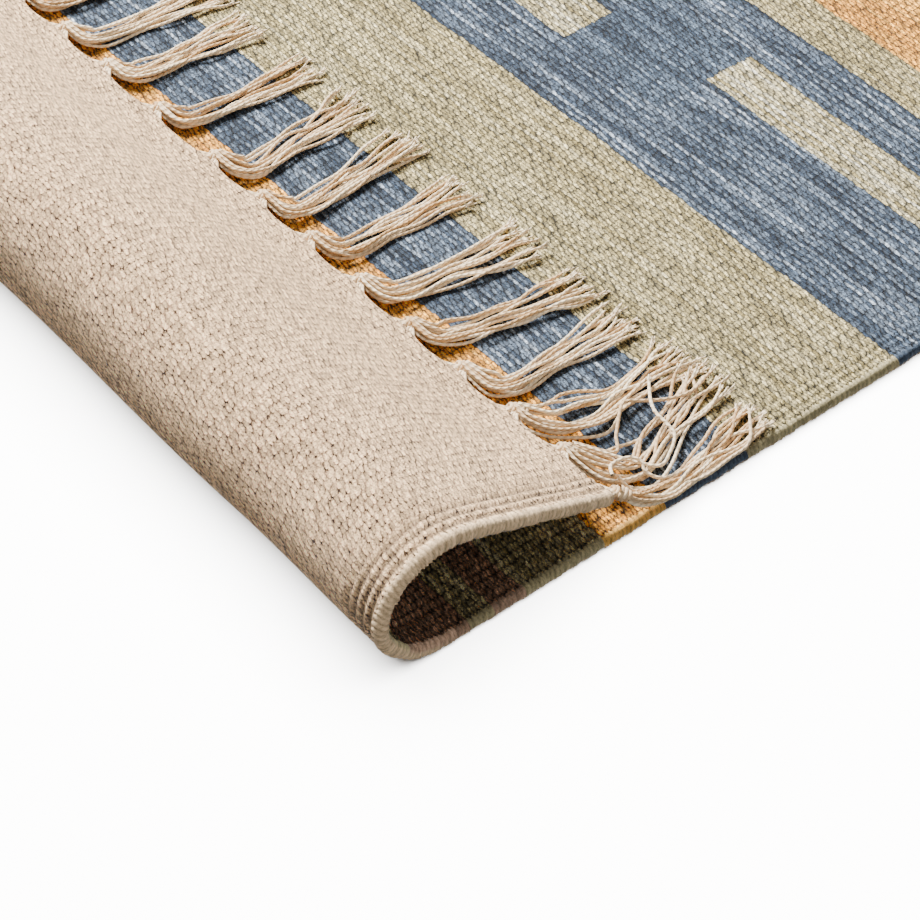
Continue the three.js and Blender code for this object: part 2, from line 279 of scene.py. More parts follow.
# Colours of the print, from the free end of the flap to the far end: distance where each band starts.
PRINT_BANDS = [
    {"start": -256, "colour": "sage"}, {"start": -214, "colour": "blue"}, {"start": -176, "colour": "apricot"},
    {"start": -150, "colour": "sage"}, {"start": -118, "colour": "rose"}, {"start": -90, "colour": "sage"},
    {"start": -78, "colour": "rose"}, {"start": -66, "colour": "sage"}, {"start": -29, "colour": "apricot"},
    {"start": 0, "colour": "blue"}, {"start": 37.5, "colour": "sage"}, {"start": 111.7, "colour": "blue"},
    {"start": 211.8, "colour": "sage"}, {"start": 234, "colour": "apricot"}, {"start": 292, "colour": "sage"},
    {"start": 330, "colour": "blue"}, {"start": 404, "colour": "sage"}, {"start": 470, "colour": "apricot"},
    {"start": 500, "colour": "blue"}, {"start": 540, "colour": "sage"}, {"start": 590, "colour": "apricot"},
    {"start": 614, "colour": "blue"},
]
# Oblongs over the bands, by place across the width and distance along the cloth. The last one takes the dye evenly.
PRINT_BLOCKS = [
    {"across": (137, 310), "along": (169, 192), "colour": "sage"},
    {"across": (-310, 83), "along": (144, 170), "colour": "sage"},
    {"across": (83, 137), "along": (144, 192), "colour": "deep blue"},
]
PRINT_COLOURS = {
    "sage": "#b09c64", "blue": "#243040", "deep blue": "#2f3d4e", "apricot": "#ffa637", "rose": "#ad7d5c",
}
STREAKS = {"sage": 0.45, "blue": 1.0, "apricot": 0.25, "rose": 0.25}
EVEN_DYE = 0.35


def printed(tree, across, along):
    """The printed colour at a place in millimetres, and how streaked it is."""
    bands = add(tree, "ValToRGB", add(tree, "MapRange", along, BAND_START - FLAP_ARC, BAND_START + FLAT_RUN))
    bands.color_ramp.interpolation = "CONSTANT"
    stops = bands.color_ramp.elements
    for number, band in enumerate(PRINT_BANDS):
        share = (band["start"] - BAND_START + FLAP_ARC) / CLOTH_LENGTH
        stop = stops[number] if number < 2 else stops.new(share)
        stop.position = share
        stop.color = to_linear(PRINT_COLOURS[band["colour"]])[:3] + [STREAKS[band["colour"]]]
    colour = bands
    for block in PRINT_BLOCKS:
        inside = add(tree, "Math", across, block["across"][0], operation="GREATER_THAN")
        for value, limit, side in ((across, block["across"][1], "LESS_THAN"),
                                   (along, block["along"][0], "GREATER_THAN"),
                                   (along, block["along"][1], "LESS_THAN")):
            past = add(tree, "Math", value, limit, operation=side)
            inside = add(tree, "Math", inside, past, operation="MULTIPLY")
        colour = add(tree, "MixRGB", inside, colour, to_linear(PRINT_COLOURS[block["colour"]]))
    evened = add(tree, "Math", inside, -EVEN_DYE, bands.outputs["Alpha"], operation="MULTIPLY_ADD",
                 use_clamp=True)
    return colour, evened


# The weave's sizes, as the photo's regular pattern measures at the rug's scale: a warp every 3.3 mm and a weft
# row every 1.49 mm.
WARP_PITCH = 3.3
WEFT_PITCH = 1.49
SCATTER = 0.44
BUMP_LEAN = 0.5
BUMP_STEEPNESS = (1.8, 2.6, 0)
WEAVE_RELIEF = 1.15
DRIFT_SIZE = 18
DRIFT = 0.8
FUZZ_SIZE = 0.7
FRAYING = 1.5
STREAK_SIZE = 60
STREAK_ROWS = 2.5
PATCH_SIZE = 40
BEND_START = BAND_START - 45
BEND_LENGTH = 75
# Most values of a noise texture lie between these.
NOISE_SPAN = (0.36, 0.64)
NATURAL_COTTON = "#e8c193"
DYE_IN_GAPS = "#b07a62"
DARK_FLECK = "#46301f"


def woven_surface(tree):
    """A weft-faced plain weave: rows of leaning, uneven yarn bumps, a little out of line.

    The face is printed, and its rows take the dye unevenly. The back is natural, with the dye just
    showing in the gaps, most where the bend of the fold opens them, and dark flecks between some bumps."""
    place = add(tree, "UVMap", uv_map="yarn")
    face = add(tree, "Attribute", attribute_name="face").outputs["Fac"]
    face = add(tree, "Math", face, 0.5, operation="GREATER_THAN")
    drift = add(tree, "TexNoise", place, None, 1 / (DRIFT_SIZE * MM), 1.0, normalize=False).outputs["Color"]
    axes = add(tree, "SeparateXYZ", add(tree, "VectorMath", drift, (DRIFT * MM, DRIFT * MM, 0), place,
                                        operation="MULTIPLY_ADD"))

    # One cell is one crossing, a warp wide and a weft row deep. The weft shows fuller over every other warp.
    grid = add(tree, "CombineXYZ", add(tree, "Math", axes, 1 / (WARP_PITCH * MM), operation="MULTIPLY"),
               add(tree, "Math", axes.outputs[1], 1 / (WEFT_PITCH * MM), operation="MULTIPLY"))
    bumps = add(tree, "TexVoronoi", voronoi_dimensions="2D", inputs={
        "Vector": grid, "Scale": 1.0, "Randomness": SCATTER})
    number = add(tree, "SeparateXYZ", add(tree, "VectorMath", bumps.outputs["Position"], operation="FLOOR"))
    column, row = number.outputs[0], number.outputs[1]
    odd = add(tree, "Math", row, 2.0, operation="FLOORED_MODULO")
    over = add(tree, "Math", add(tree, "Math", column, row, operation="ADD"), 2.0, operation="FLOORED_MODULO")
    chances = add(tree, "SeparateColor", bumps.outputs["Color"])

    # The bump: a leaning dome round its own middle, with the fuzz of the cotton on it.
    off_middle = add(tree, "SeparateXYZ", add(tree, "VectorMath", grid, bumps.outputs["Position"],
                                              operation="SUBTRACT"))
    lean = add(tree, "MapRange", face, 0.0, 1.0, -BUMP_LEAN, BUMP_LEAN)
    leaning = add(tree, "CombineXYZ", off_middle, add(tree, "Math", off_middle, lean, off_middle.outputs[1],
                                                      operation="MULTIPLY_ADD"))
    fall = add(tree, "VectorMath", leaning, BUMP_STEEPNESS, operation="MULTIPLY")
    spread = add(tree, "VectorMath", leaning, fall, operation="DOT_PRODUCT").outputs["Value"]
    fuzz = add(tree, "TexNoise", place, None, 1 / (FUZZ_SIZE * MM), 3.0, 0.7)
    frayed = add(tree, "Math", fuzz, FRAYING, 1 - FRAYING / 2, operation="MULTIPLY_ADD")
    dome = add(tree, "Math", frayed, spread, operation="SUBTRACT", use_clamp=True)
    fibres = add(tree, "MapRange", fuzz, *NOISE_SPAN, 0.55, 1.45)
    fullness = add(tree, "Math", add(tree, "MapRange", chances, 0.0, 1.0, 0.7, 1.1),
                   add(tree, "MapRange", over, 0.0, 1.0, 0.45, 1.15), operation="MULTIPLY")
    height = add(tree, "Math", fuzz, 0.5, add(tree, "Math", dome, fullness, operation="MULTIPLY"),
                 operation="MULTIPLY_ADD")
    height = add(tree, "Math", height, add(tree, "MapRange", face, 0.0, 1.0, 0.75, 1.0), operation="MULTIPLY")

    # The face: the print follows whole bumps, so its edges step from yarn to yarn. Every other weft and some
    # runs of rows take less dye.
    yarn_along, yarn_across = (
        add(tree, "Math", add(tree, "Math", count, SCATTER / 2, operation="ADD"), pitch, operation="MULTIPLY")
        for count, pitch in ((row, WEFT_PITCH), (column, WARP_PITCH)))
    dye, streaked = printed(tree, yarn_across, yarn_along)
    slow = add(tree, "TexNoise", add(tree, "CombineXYZ", yarn_across, add(
        tree, "Math", row, STREAK_SIZE / STREAK_ROWS, operation="MULTIPLY")), None, 1 / STREAK_SIZE, 1.0)
    streak = add(tree, "Math", odd, 0.34, add(tree, "MapRange", slow, *NOISE_SPAN, 0.0, 0.5),
                 operation="MULTIPLY_ADD")
    streak = add(tree, "Math", chances.outputs[1], 0.26, streak, operation="MULTIPLY_ADD")
    taken = add(tree, "Math", streak, add(tree, "MapRange", streaked, 0.0, 1.0, 0.1, 0.7), operation="MULTIPLY")
    dyed = add(tree, "Gamma", dye, add(tree, "Math", 1.0, taken, operation="SUBTRACT"))
    # The face's tone: painted shade in the gaps between bumps and on the lower crossings, and a painted highlight on
    # the bump tops. The fibres, the streaks and each bump's own tone vary it at random.
    face_tone_and_painted_shade = add(tree, "Math", add(tree, "MapRange", dome, 0.0, 1.0, 0.08, 1.25),
                    add(tree, "MapRange", chances.outputs[2], 0.0, 1.0, 0.66, 1.45), operation="MULTIPLY")
    for part in (fibres, add(tree, "MapRange", slow, *NOISE_SPAN, 0.78, 1.2),
                 add(tree, "MapRange", over, 0.0, 1.0, 0.66, 1.22)):
        face_tone_and_painted_shade = add(tree, "Math", face_tone_and_painted_shade, part, operation="MULTIPLY")
    face_colour = add(tree, "MixRGB", 1.0, dyed, face_tone_and_painted_shade, blend_type="MULTIPLY")

    # The back: natural cotton, dye in its gaps, and a dark fleck at some corners between the bumps.
    bend = add(tree, "MapRange", axes.outputs[1], (BEND_START - BEND_LENGTH) * MM, BEND_START * MM, 0.35, 1.0)
    patch = add(tree, "MapRange", add(tree, "TexNoise", place, None, 1 / (PATCH_SIZE * MM), 2.0), 0.35, 0.7)
    showing = add(tree, "Math", add(tree, "MapRange", patch, 0.0, 1.0, 0.5, 1.0), bend, operation="MULTIPLY")
    dyed_gap = add(tree, "Math", add(tree, "MapRange", dome, 0.0, 0.7, 0.6, 0.0), showing, operation="MULTIPLY")
    natural = add(tree, "MixRGB", dyed_gap, to_linear(NATURAL_COTTON), to_linear(DYE_IN_GAPS))
    fleck = add(tree, "Math", add(tree, "MapRange", dome, 0.0, 0.14, 1.0, 0.0),
                add(tree, "Math", chances.outputs[1], 0.35, operation="GREATER_THAN"), operation="MULTIPLY")
    flecked = add(tree, "MixRGB", fleck, natural, to_linear(DARK_FLECK))
    furrow = add(tree, "Attribute", attribute_name="furrow").outputs["Fac"]
    # The back's tone: painted shade in the gaps between bumps, on the lower crossings and in the valleys of the edge
    # ribs, and a painted highlight on the bump tops. The fibres and each bump's own tone vary it at random.
    back_tone_and_painted_shade = add(tree, "Math", add(tree, "MapRange", chances.outputs[2], 0.0, 1.0, 0.68, 1.34),
                    add(tree, "MapRange", furrow, 0.2, 1.0, 1.06, 0.5), operation="MULTIPLY")
    for part in (fibres, add(tree, "MapRange", over, 0.0, 1.0, 0.74, 1.1),
                 add(tree, "MapRange", dome, 0.0, 0.8, 0.55, 1.1)):
        back_tone_and_painted_shade = add(tree, "Math", back_tone_and_painted_shade, part, operation="MULTIPLY")
    back_colour = add(tree, "MixRGB", 1.0, flecked, back_tone_and_painted_shade, blend_type="MULTIPLY")
    return add(tree, "MixRGB", face, back_colour, face_colour), height


cloth.data.materials.append(cotton("woven cotton", woven_surface, WEAVE_RELIEF))
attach(cloth, "root")
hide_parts("rug_cloth")

# The side edges
# The weft turns back round the outer warps, which makes a firm, finely ribbed rim on both sides. It is
# the cloth's own cotton, dyed with the face and natural towards the back.

RIM_RADIUS = 2.9
RIM_RIB_PITCH = 2.0
RIM_RIB_DEPTH = 0.5
RIM_UNEVEN = 0.3
UNEVEN_SIZE = 2.5
RIM_STEPS_PER_RIB = 4
RIM_SIDES = 12
RIM_RELIEF = 0.5
RIM_DYE = 0.62
RIM_NATURAL = "#ebcba0"
RIB_SLANT = 0.8
DYED_DOWN_TO = {"flat": -0.75, "lifted": 0.45}


def ribbed_surface(tree):
    """Weft turns wound close round the outer warps: fine ribs, fuzzy, with painted shade between them."""
    place = add(tree, "UVMap", uv_map="yarn")
    axes = add(tree, "SeparateXYZ", add(tree, "VectorMath", place, (1 / MM, 1 / MM, 0), operation="MULTIPLY"))
    dye, _ = printed(tree, axes, axes.outputs[1])
    face = add(tree, "Attribute", attribute_name="face").outputs["Fac"]
    rib = add(tree, "Attribute", attribute_name="rib").outputs["Fac"]
    fuzz = add(tree, "TexNoise", place, None, 1 / (FUZZ_SIZE * MM), 3.0, 0.7)
    uneven = add(tree, "TexNoise", place, None, 1 / (UNEVEN_SIZE * MM), 2.0)
    dyed = add(tree, "Gamma", dye, RIM_DYE)
    yarn = add(tree, "MixRGB", face, to_linear(RIM_NATURAL), dyed)
    # The tone is painted shade in the grooves between the weft turns, with random unevenness and fuzz over it.
    tone = add(tree, "Math", add(tree, "MapRange", rib, 0.1, 1.1, 0.5, 1.06),
               add(tree, "MapRange", uneven, 0.35, 0.65, 0.72, 1.15), operation="MULTIPLY")
    tone = add(tree, "Math", tone, add(tree, "MapRange", fuzz, *NOISE_SPAN, 0.75, 1.25), operation="MULTIPLY")
    return add(tree, "MixRGB", 1.0, yarn, tone, blend_type="MULTIPLY"), fuzz


ribbed_cotton = cotton("ribbed cotton edge", ribbed_surface, RIM_RELIEF)


def rim_piece(name, side, first, last):
    """The rim of one side, from one length to another round the cloth."""
    lengths = np.linspace(first, last, int((last - first) / RIM_RIB_PITCH * RIM_STEPS_PER_RIB))
    turns = np.linspace(0, 2 * math.pi, RIM_SIDES, endpoint=False)
    wander = 0.6 * np.sin(lengths / 5.3) + 0.5 * np.sin(lengths / 2.9 + 1)
    slant = (lengths + wander)[:, None] + RIB_SLANT * np.sin(turns)[None, :]
    rib = np.abs(np.sin(math.pi * slant / RIM_RIB_PITCH))
    turn_size = np.random.default_rng(3).normal(0, 1, int(CLOTH_LENGTH / RIM_RIB_PITCH) + 3)
    turn_size = turn_size[np.floor((slant + FLAT_RUN) / RIM_RIB_PITCH + 1).astype(int)]
    ends = np.sqrt(np.clip(np.minimum(lengths + FLAT_RUN, FLAP_ARC - lengths) / RIM_RADIUS, 0.02, 1))
    full = np.interp(lengths, [-5, 30], [HALF_THICKNESS, RIM_RADIUS])[:, None]
    radius = (full - RIM_RIB_DEPTH * (1 - rib) + RIM_UNEVEN * rib * turn_size.clip(-1, 1)) * ends[:, None]
    x = side * (EDGE - RIM_RADIUS) + side * radius * np.cos(turns)[None, :]
    off = np.minimum(radius * np.sin(turns)[None, :], full + 0.1)
    off = np.where(lengths[:, None] < 4, np.maximum(off, -HALF_THICKNESS), off)
    points = on_cloth(x, lengths[:, None], off)
    numbers = np.arange(points.shape[0] * RIM_SIDES).reshape(points.shape[:2])
    next_round = np.roll(numbers, -1, axis=1)
    quads = np.stack([numbers[:-1], next_round[:-1], next_round[1:], numbers[1:]], axis=-1).reshape(-1, 4)
    if side < 0:
        quads = quads[:, ::-1]
    uv = np.stack(np.broadcast_arrays(x, (BAND_START - lengths)[:, None]), axis=-1)
    dyed_to = np.interp(lengths, [-10, 30], [DYED_DOWN_TO["flat"], DYED_DOWN_TO["lifted"]])
    on_face = ease((np.sin(turns)[None, :] - dyed_to[:, None]) / 0.5)
    # The rib value is low in the grooves between weft turns, where the material paints shade.
    rim = mesh_piece(name, points.reshape(-1, 3), quads, uv.reshape(-1, 2)[quads], face=on_face.ravel(),
                     rib=(rib * (0.85 + 0.15 * turn_size.clip(-1.5, 1.5))).ravel())
    rim.data.materials.append(ribbed_cotton)
    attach(rim, "root")
    return rim


flat_rims = [rim_piece("near_side_edge", 1, -FLAT_RUN, 0), rim_piece("far_side_edge", -1, -FLAT_RUN, 0)]
fold_rims = [rim_piece("near_fold_edge", 1, 0, FLAP_ARC), rim_piece("far_fold_edge", -1, 0, FLAP_ARC)]
rims = flat_rims + fold_rims

# The fringe
# Warp ends left long at both ends of the cloth, gathered into an overhand knot against the cloth's
# edge. The twisted strands lie loose from the knots and are frayed at their tips.

random = np.random.default_rng(7)
STRANDS = 12
STRAND_RADIUS = 0.64
STRAND_SIDES = 7
CRIMP = 0.55
CRIMP_LENGTH = 30
STRAND_LENGTH = 75
PLY_DEPTH = 0.1
PLY_PITCH = 5.5
YARN_RELIEF = 0.22
YARN_COLOURS = ("#bb9364", "#f3dfbc")
LAYERS = 3
LAYER_HEIGHT = 1.3
TIP_FIBRES = 6
FIBRE_RADII = (0.45, 0.42, 0.28)
FIBRE_SIDES = 4
FIBRE_FAN = 0.16
FIBRE_REACH = (2.5, 5.5)
KNOT_HALF = (4.5, 3.6, 3.3)
KNOT_TURNS = 5
WRAP_PITCH = 1.4
WRAP_SLANT = 1.2
WRAP_RADIUS = 0.85
WRAP_PLY_DEPTH = 0.12
WRAP_STEPS = 22
WRAP_SIDES = 6
GATHER_RADIUS = 0.8
GATHER_STEPS = 8
GATHER_SIDES = 5
GAP = 0.3


def cords(lines, radius, sides, ply_depth=0.0, upward=(0, 0, 1)):
    """Round cords along lines [cord, step, xyz], with a two-ply twist, as vertices, quads and uv."""
    lines = np.asarray(lines, float)
    ahead = np.gradient(lines, axis=1)
    ahead /= np.linalg.norm(ahead, axis=2, keepdims=True)
    across = np.cross(ahead, upward)
    across /= np.linalg.norm(across, axis=2, keepdims=True)
    up = np.cross(across, ahead)
    steps = np.linalg.norm(np.diff(lines, axis=1), axis=2)
    along = np.concatenate([np.zeros((len(lines), 1)), np.cumsum(steps, axis=1)], axis=1)
    turns = np.linspace(0, 2 * math.pi, sides, endpoint=False)
    twist = 2 * math.pi * along / PLY_PITCH
    lobes = 1 + ply_depth * np.cos(2 * (turns - twist[..., None]))
    size = np.broadcast_to(radius, lines.shape[:2])[..., None] * lobes
    rings = (lines[:, :, None] + size[..., None] * (np.cos(turns)[:, None] * across[:, :, None]
                                                   + np.sin(turns)[:, None] * up[:, :, None]))
    numbers = np.arange(rings[..., 0].size).reshape(rings.shape[:3])
    next_round = np.roll(numbers, -1, axis=2)
    quads = np.stack([numbers[:, :-1], next_round[:, :-1], next_round[:, 1:], numbers[:, 1:]], axis=-1)
    u = np.arange(sides)[:, None] + (0, 1, 1, 0)
    v = np.stack([along[:, :-1], along[:, :-1], along[:, 1:], along[:, 1:]], axis=-1)
    uv = np.stack(np.broadcast_arrays(u / sides, v[:, :, None]), axis=-1)
    return rings.reshape(-1, 3), quads.reshape(-1, 4), uv.reshape(-1, 4, 2)


def yarn_surface(tree):
    """Undyed two-ply cotton yarn: cream, a little uneven from strand to strand, fuzzy."""
    place = add(tree, "TexCoord").outputs["Object"]
    tone = add(tree, "Attribute", attribute_name="tone").outputs["Fac"]
    colour = add(tree, "MixRGB", tone, *(to_linear(shade) for shade in YARN_COLOURS))
    axes = add(tree, "SeparateXYZ", add(tree, "VectorMath", add(tree, "UVMap", uv_map="yarn"),
                                        (2 / MM, 2 / PLY_PITCH / MM, 0), operation="MULTIPLY"))
    turn = add(tree, "Math", axes, axes.outputs[1], operation="SUBTRACT")
    ply = add(tree, "Math", add(tree, "Math", turn, math.pi, operation="MULTIPLY"), operation="SINE")
    ply = add(tree, "Math", ply, operation="ABSOLUTE")
    fibres = add(tree, "TexNoise", place, None, 1 / (FUZZ_SIZE * MM), 3.0, 0.7)
    height = add(tree, "Math", fibres, 0.5, ply, operation="MULTIPLY_ADD")
    # The grooves of the ply twist and the low fibres are painted darker: painted shade in the twist.
    shade = add(tree, "MapRange", height, 0.2, 1.25, 0.72, 1.05)
    return add(tree, "MixRGB", 1.0, colour, shade, blend_type="MULTIPLY"), height


undyed_yarn = cotton("undyed cotton yarn", yarn_surface, YARN_RELIEF)


def smooth_lines(controls, steps):
    """Smooth lines through control points [line, point, xyz], with evenly shared steps."""
    first = 2 * controls[:, :1] - controls[:, 1:2]
    last = 2 * controls[:, -1:] - controls[:, -2:-1]
    padded = np.concatenate([first, controls, last], axis=1)
    lines = []
    for points in padded:
        fine = spline(points, 16)
        along = np.concatenate([[0], np.cumsum(np.linalg.norm(np.diff(fine, axis=0), axis=1))])
        even = np.linspace(0, along[-1], steps)
        lines.append(np.stack([np.interp(even, along, fine[:, k]) for k in range(3)], axis=-1))
    return np.array(lines)


def tassel_piece(name, node, knot, axis, edge_points, lines, floor_z):
    """One tassel: gathered warp ends, the wrapped knot, its strands and their frayed tips."""
    steps = lines.shape[1]
    bends = 2 * math.pi * np.linspace(0, STRAND_LENGTH / CRIMP_LENGTH, steps)
    for axis_number, size in enumerate((CRIMP, CRIMP, 0.5 * CRIMP)):
        phase = random.uniform(0, 2 * math.pi, (len(lines), 1))
        pace = random.uniform(0.7, 1.4, (len(lines), 1))
        lines[..., axis_number] += size * np.sin(pace * bends + phase) * ease(bends / 9)
    lines[..., 2] = np.maximum(lines[..., 2], floor_z + STRAND_RADIUS)
    taper = np.interp(np.linspace(0, 1, steps), [0, 0.93, 1], [1, 1, 0.6])
    parts = [cords(lines, STRAND_RADIUS * taper, STRAND_SIDES, PLY_DEPTH)]

    # Frayed tips: each strand opens into a short brush of fibres.
    tips = np.repeat(lines[:, -4], TIP_FIBRES, axis=0)
    out = np.repeat(lines[:, -1] - lines[:, -8], TIP_FIBRES, axis=0)
    out /= np.linalg.norm(out, axis=1, keepdims=True)
    fan = random.normal(0, FIBRE_FAN, out.shape)
    reach = random.uniform(*FIBRE_REACH, (len(out), 1))
    fibre_ends = tips + (out + fan) * reach
    fibre_ends[:, 2] = np.maximum(fibre_ends[:, 2], floor_z + 0.3)
    middle = tips + out * 0.5 * reach + fan * 0.4 * reach
    middle[:, 2] = np.maximum(middle[:, 2], floor_z + 0.4)
    fibres = np.stack([tips, middle, fibre_ends], axis=1)
    parts.append(cords(fibres, np.array(FIBRE_RADII), FIBRE_SIDES))

    # The knot: the bundle wrapped round itself.
    side = np.cross(axis, (0, 0, 1))
    rise = np.array((0, 0, 1.0))
    wraps = []
    for turn in range(KNOT_TURNS):
        angle = np.linspace(0.2, 2 * math.pi + 0.2, WRAP_STEPS)
        from_middle = turn - KNOT_TURNS // 2
        shift = from_middle * WRAP_PITCH + WRAP_SLANT * np.sin(angle + 0.5)
        wide = 1.7 + 0.5 * math.cos(from_middle)
        tall = 1.5 + 0.4 * math.cos(from_middle)
        wraps.append(knot + shift[:, None] * axis + wide * np.cos(angle)[:, None] * side
                     + tall * np.sin(angle)[:, None] * rise)
    parts.append(cords(wraps, WRAP_RADIUS, WRAP_SIDES, WRAP_PLY_DEPTH, tuple(axis)))
    gathers = np.array([np.stack([point, 0.5 * (point + knot), knot]) for point in edge_points])
    gathers = smooth_lines(gathers, GATHER_STEPS)
    parts.append(cords(gathers, GATHER_RADIUS, GATHER_SIDES, PLY_DEPTH))

    vertices = np.concatenate([part[0] for part in parts])
    starts = np.cumsum([0] + [len(part[0]) for part in parts[:-1]])
    quads = np.concatenate([part[1] + start for part, start in zip(parts, starts)])
    tone = np.concatenate([
        np.repeat(random.uniform(0.0, 0.95, len(lines)), steps * STRAND_SIDES),
        np.full(len(fibres) * len(FIBRE_RADII) * FIBRE_SIDES, 0.85),
        np.repeat(random.uniform(0.1, 0.6, len(wraps)), WRAP_STEPS * WRAP_SIDES),
        np.repeat(random.uniform(0.4, 0.8, len(gathers)), GATHER_STEPS * GATHER_SIDES),
    ])
    tassel = mesh_piece(name, vertices, quads, np.concatenate([part[2] for part in parts]), tone=tone)
    tassel.data.materials.append(undyed_yarn)
    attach(tassel, "root")
    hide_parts(node)
    return tassel


def knot_place(end, outward, floor_z):
    """The middle of a knot just off the cloth's end, clear of what lies below it."""
    reach = math.hypot(KNOT_HALF[1] * outward[1], KNOT_HALF[2] * outward[2]) + GAP
    knot = end + reach * outward
    knot[2] = max(knot[2], floor_z + KNOT_HALF[2])
    return knot


def bundle(middle, halves, inner, lifts, floor_z, stray):
    """Control points of a tassel's strands round its middle line.

    halves are the bundle's half widths, and inner how much wider it is on the left, inside the bend."""
    heading = np.gradient(middle, axis=0)
    left = np.stack([-heading[:, 1], heading[:, 0]], axis=-1)
    left /= np.linalg.norm(left, axis=1, keepdims=True)
    share = np.linspace(0, 1, len(middle))
    free = ease(share / 0.7)
    strands = []
    for number in range(STRANDS):
        across = 2 * number / (STRANDS - 1) - 1 + random.normal(0, 0.08)
        offset = across * halves * (inner if across > 0 else 1) + random.normal(0, stray, len(middle)) * free
        plan = middle + left * offset[:, None]
        plan = plan + heading * (share**2 * random.normal(0, 0.14))[:, None]
        layer = number * 2 % LAYERS
        height = floor_z + STRAND_RADIUS + lifts + layer * LAYER_HEIGHT * (1 - 0.8 * ease((share - 0.3) / 0.5))
        height = height + np.abs(random.normal(0, 0.9, len(middle))) * free
        strands.append(np.column_stack([plan, height]))
    return np.array(strands)


# How the tassels of the folded end lie: out of the knot along +X, then round to +Y. The first rows are the
# near corner's, and the last row is for all the tassels after it.
FOLD_LAYS = [
    {"sweep": 2.5, "turn": 15, "ribbon": 1.4, "tip_x": -6, "tip_y": 69, "spread": 7, "stray": 2.2},
    {"sweep": 19, "turn": 13, "ribbon": 3.6, "tip_x": -3, "tip_y": 66, "spread": 10, "stray": 3.0},
    {"sweep": 18, "turn": 15, "ribbon": 5.0, "tip_x": 13, "tip_y": 66, "spread": 10, "stray": 1.4},
    {"sweep": 17, "turn": 5, "ribbon": 2.4, "tip_x": 15, "tip_y": 61, "spread": 9.5, "stray": 0.9},
    {"sweep": 13, "turn": 5, "ribbon": 2.4, "tip_x": 21, "tip_y": 62, "spread": 10, "stray": 0.9},
    {"sweep": 14, "turn": 5, "ribbon": 2.4, "tip_x": 19, "tip_y": 61, "spread": 10, "stray": 0.9},
    {"sweep": 13, "turn": 5, "ribbon": 2.2, "tip_x": 11, "tip_y": 60, "spread": 8.5, "stray": 0.9},
    {"sweep": 14, "turn": 5, "ribbon": 2.4, "tip_x": 7, "tip_y": 61, "spread": 10, "stray": 1.0},
    {"sweep": 14, "turn": 5, "ribbon": 2.4, "tip_x": 6, "tip_y": 61, "spread": 10, "stray": 1.0},
    {"sweep": 13, "turn": 5, "ribbon": 2.2, "tip_x": 14, "tip_y": 60, "spread": 9, "stray": 0.9},
]
# Loose strands of the near corner that loop and cross over the others: (x, y from the first blue band's edge, z).
FIRST_BAND_Y = LIFT_Y - BAND_START
STRAY_STRANDS = {
    0: [[(286, -13, 17), (279, -7, 13), (280, 0, 13), (284, 3, 12),
         (288, 2, 10), (293, 8, 8), (290, 30, 7), (284, 52, 7)],
        [(288, -12, 17), (293, -9, 12), (297, -2, 8), (298, 8, 7),
         (299, 22, 7), (299, 36, 7), (297, 42, 9), (287, 51, 9)]],
    1: [[(262, -10, 13), (273, 0, 10), (267, 6, 11), (260, 14, 12),
         (258, 19, 11), (261, 27, 10), (266, 42, 8), (262, 58, 7)],
        [(263, -10, 13), (280, 2, 10), (289, 7, 11), (287, 13, 12),
         (281, 20, 12), (275, 22, 12), (267, 24, 12), (253, 34, 9)]],
}
FACE_Z = 2 * HALF_THICKNESS
GATHER_SPREAD = (-9, -6, -3, 3, 6, 9)
GATHER_INSET = 3.5
EDGE_CLEARANCE = 3
FOLD_KNOT_AXIS = np.array((0.9, 0.44, 0.0))
FAR_KNOT_AXIS = np.array((0.0, 1.0, 0.0))
FOLD_STEPS = 90
FAR_STEPS = 44

tassels = []
for index, x in enumerate(fold_knot_xs):
    end = on_cloth(x, FLAP_ARC, 0)
    outward = end - on_cloth(x, FLAP_ARC - 1, 0)
    outward[0] = 0
    outward /= np.linalg.norm(outward)
    knot = knot_place(end, outward, FACE_Z + GAP)
    lay = dict(FOLD_LAYS[min(index, len(FOLD_LAYS) - 1)])
    if index >= len(FOLD_LAYS):
        lay["sweep"] += 1.4 * math.sin(2.3 * index)
        lay["tip_x"] += 2.2 * math.sin(1.7 * index + 1)
        lay["tip_y"] += 3.5 * math.cos(2.9 * index)
    root = knot[2] - FACE_Z - STRAND_RADIUS
    bend, tip = np.array((lay["sweep"], lay["turn"] + 4)), np.array((lay["tip_x"], lay["tip_y"]))
    middle = knot[:2] + np.array([
        (0, 0), (0.35 * lay["sweep"], 0.1 * lay["turn"]), (0.78 * lay["sweep"], 0.45 * lay["turn"]), bend,
        0.65 * bend + 0.35 * tip, 0.3 * bend + 0.7 * tip, tip,
    ])
    ribbon = 1.3 * lay["ribbon"]
    spread = lay["spread"]
    halves = np.array([1.2, 0.75 * ribbon, ribbon, ribbon, 0.42 * spread, 0.7 * spread, spread])
    inner = np.array([1, 1.2, 2, 2.2, 1.4, 1.1, 1])
    lifts = root * np.array([1, 0.8, 0.42, 0.08, 0, 0, 0])
    lines = smooth_lines(bundle(middle, halves, inner, lifts, FACE_Z, lay["stray"]), FOLD_STEPS)
    if index in STRAY_STRANDS:
        strays = np.array(STRAY_STRANDS[index], float) + (0, FIRST_BAND_Y, 0)
        lines = np.concatenate([lines, smooth_lines(strays, FOLD_STEPS)])
    gather_xs = np.clip(np.add(x, GATHER_SPREAD), EDGE_CLEARANCE - EDGE, EDGE - EDGE_CLEARANCE)
    edge_points = [on_cloth(gather_x, FLAP_ARC - GATHER_INSET, -0.4) for gather_x in gather_xs]
    tassels.append(tassel_piece(f"folded_end_tassel_{index + 1:02d}", f"fold_tassel_{index + 1:02d}", knot,
                                FOLD_KNOT_AXIS, edge_points, lines, FACE_Z))

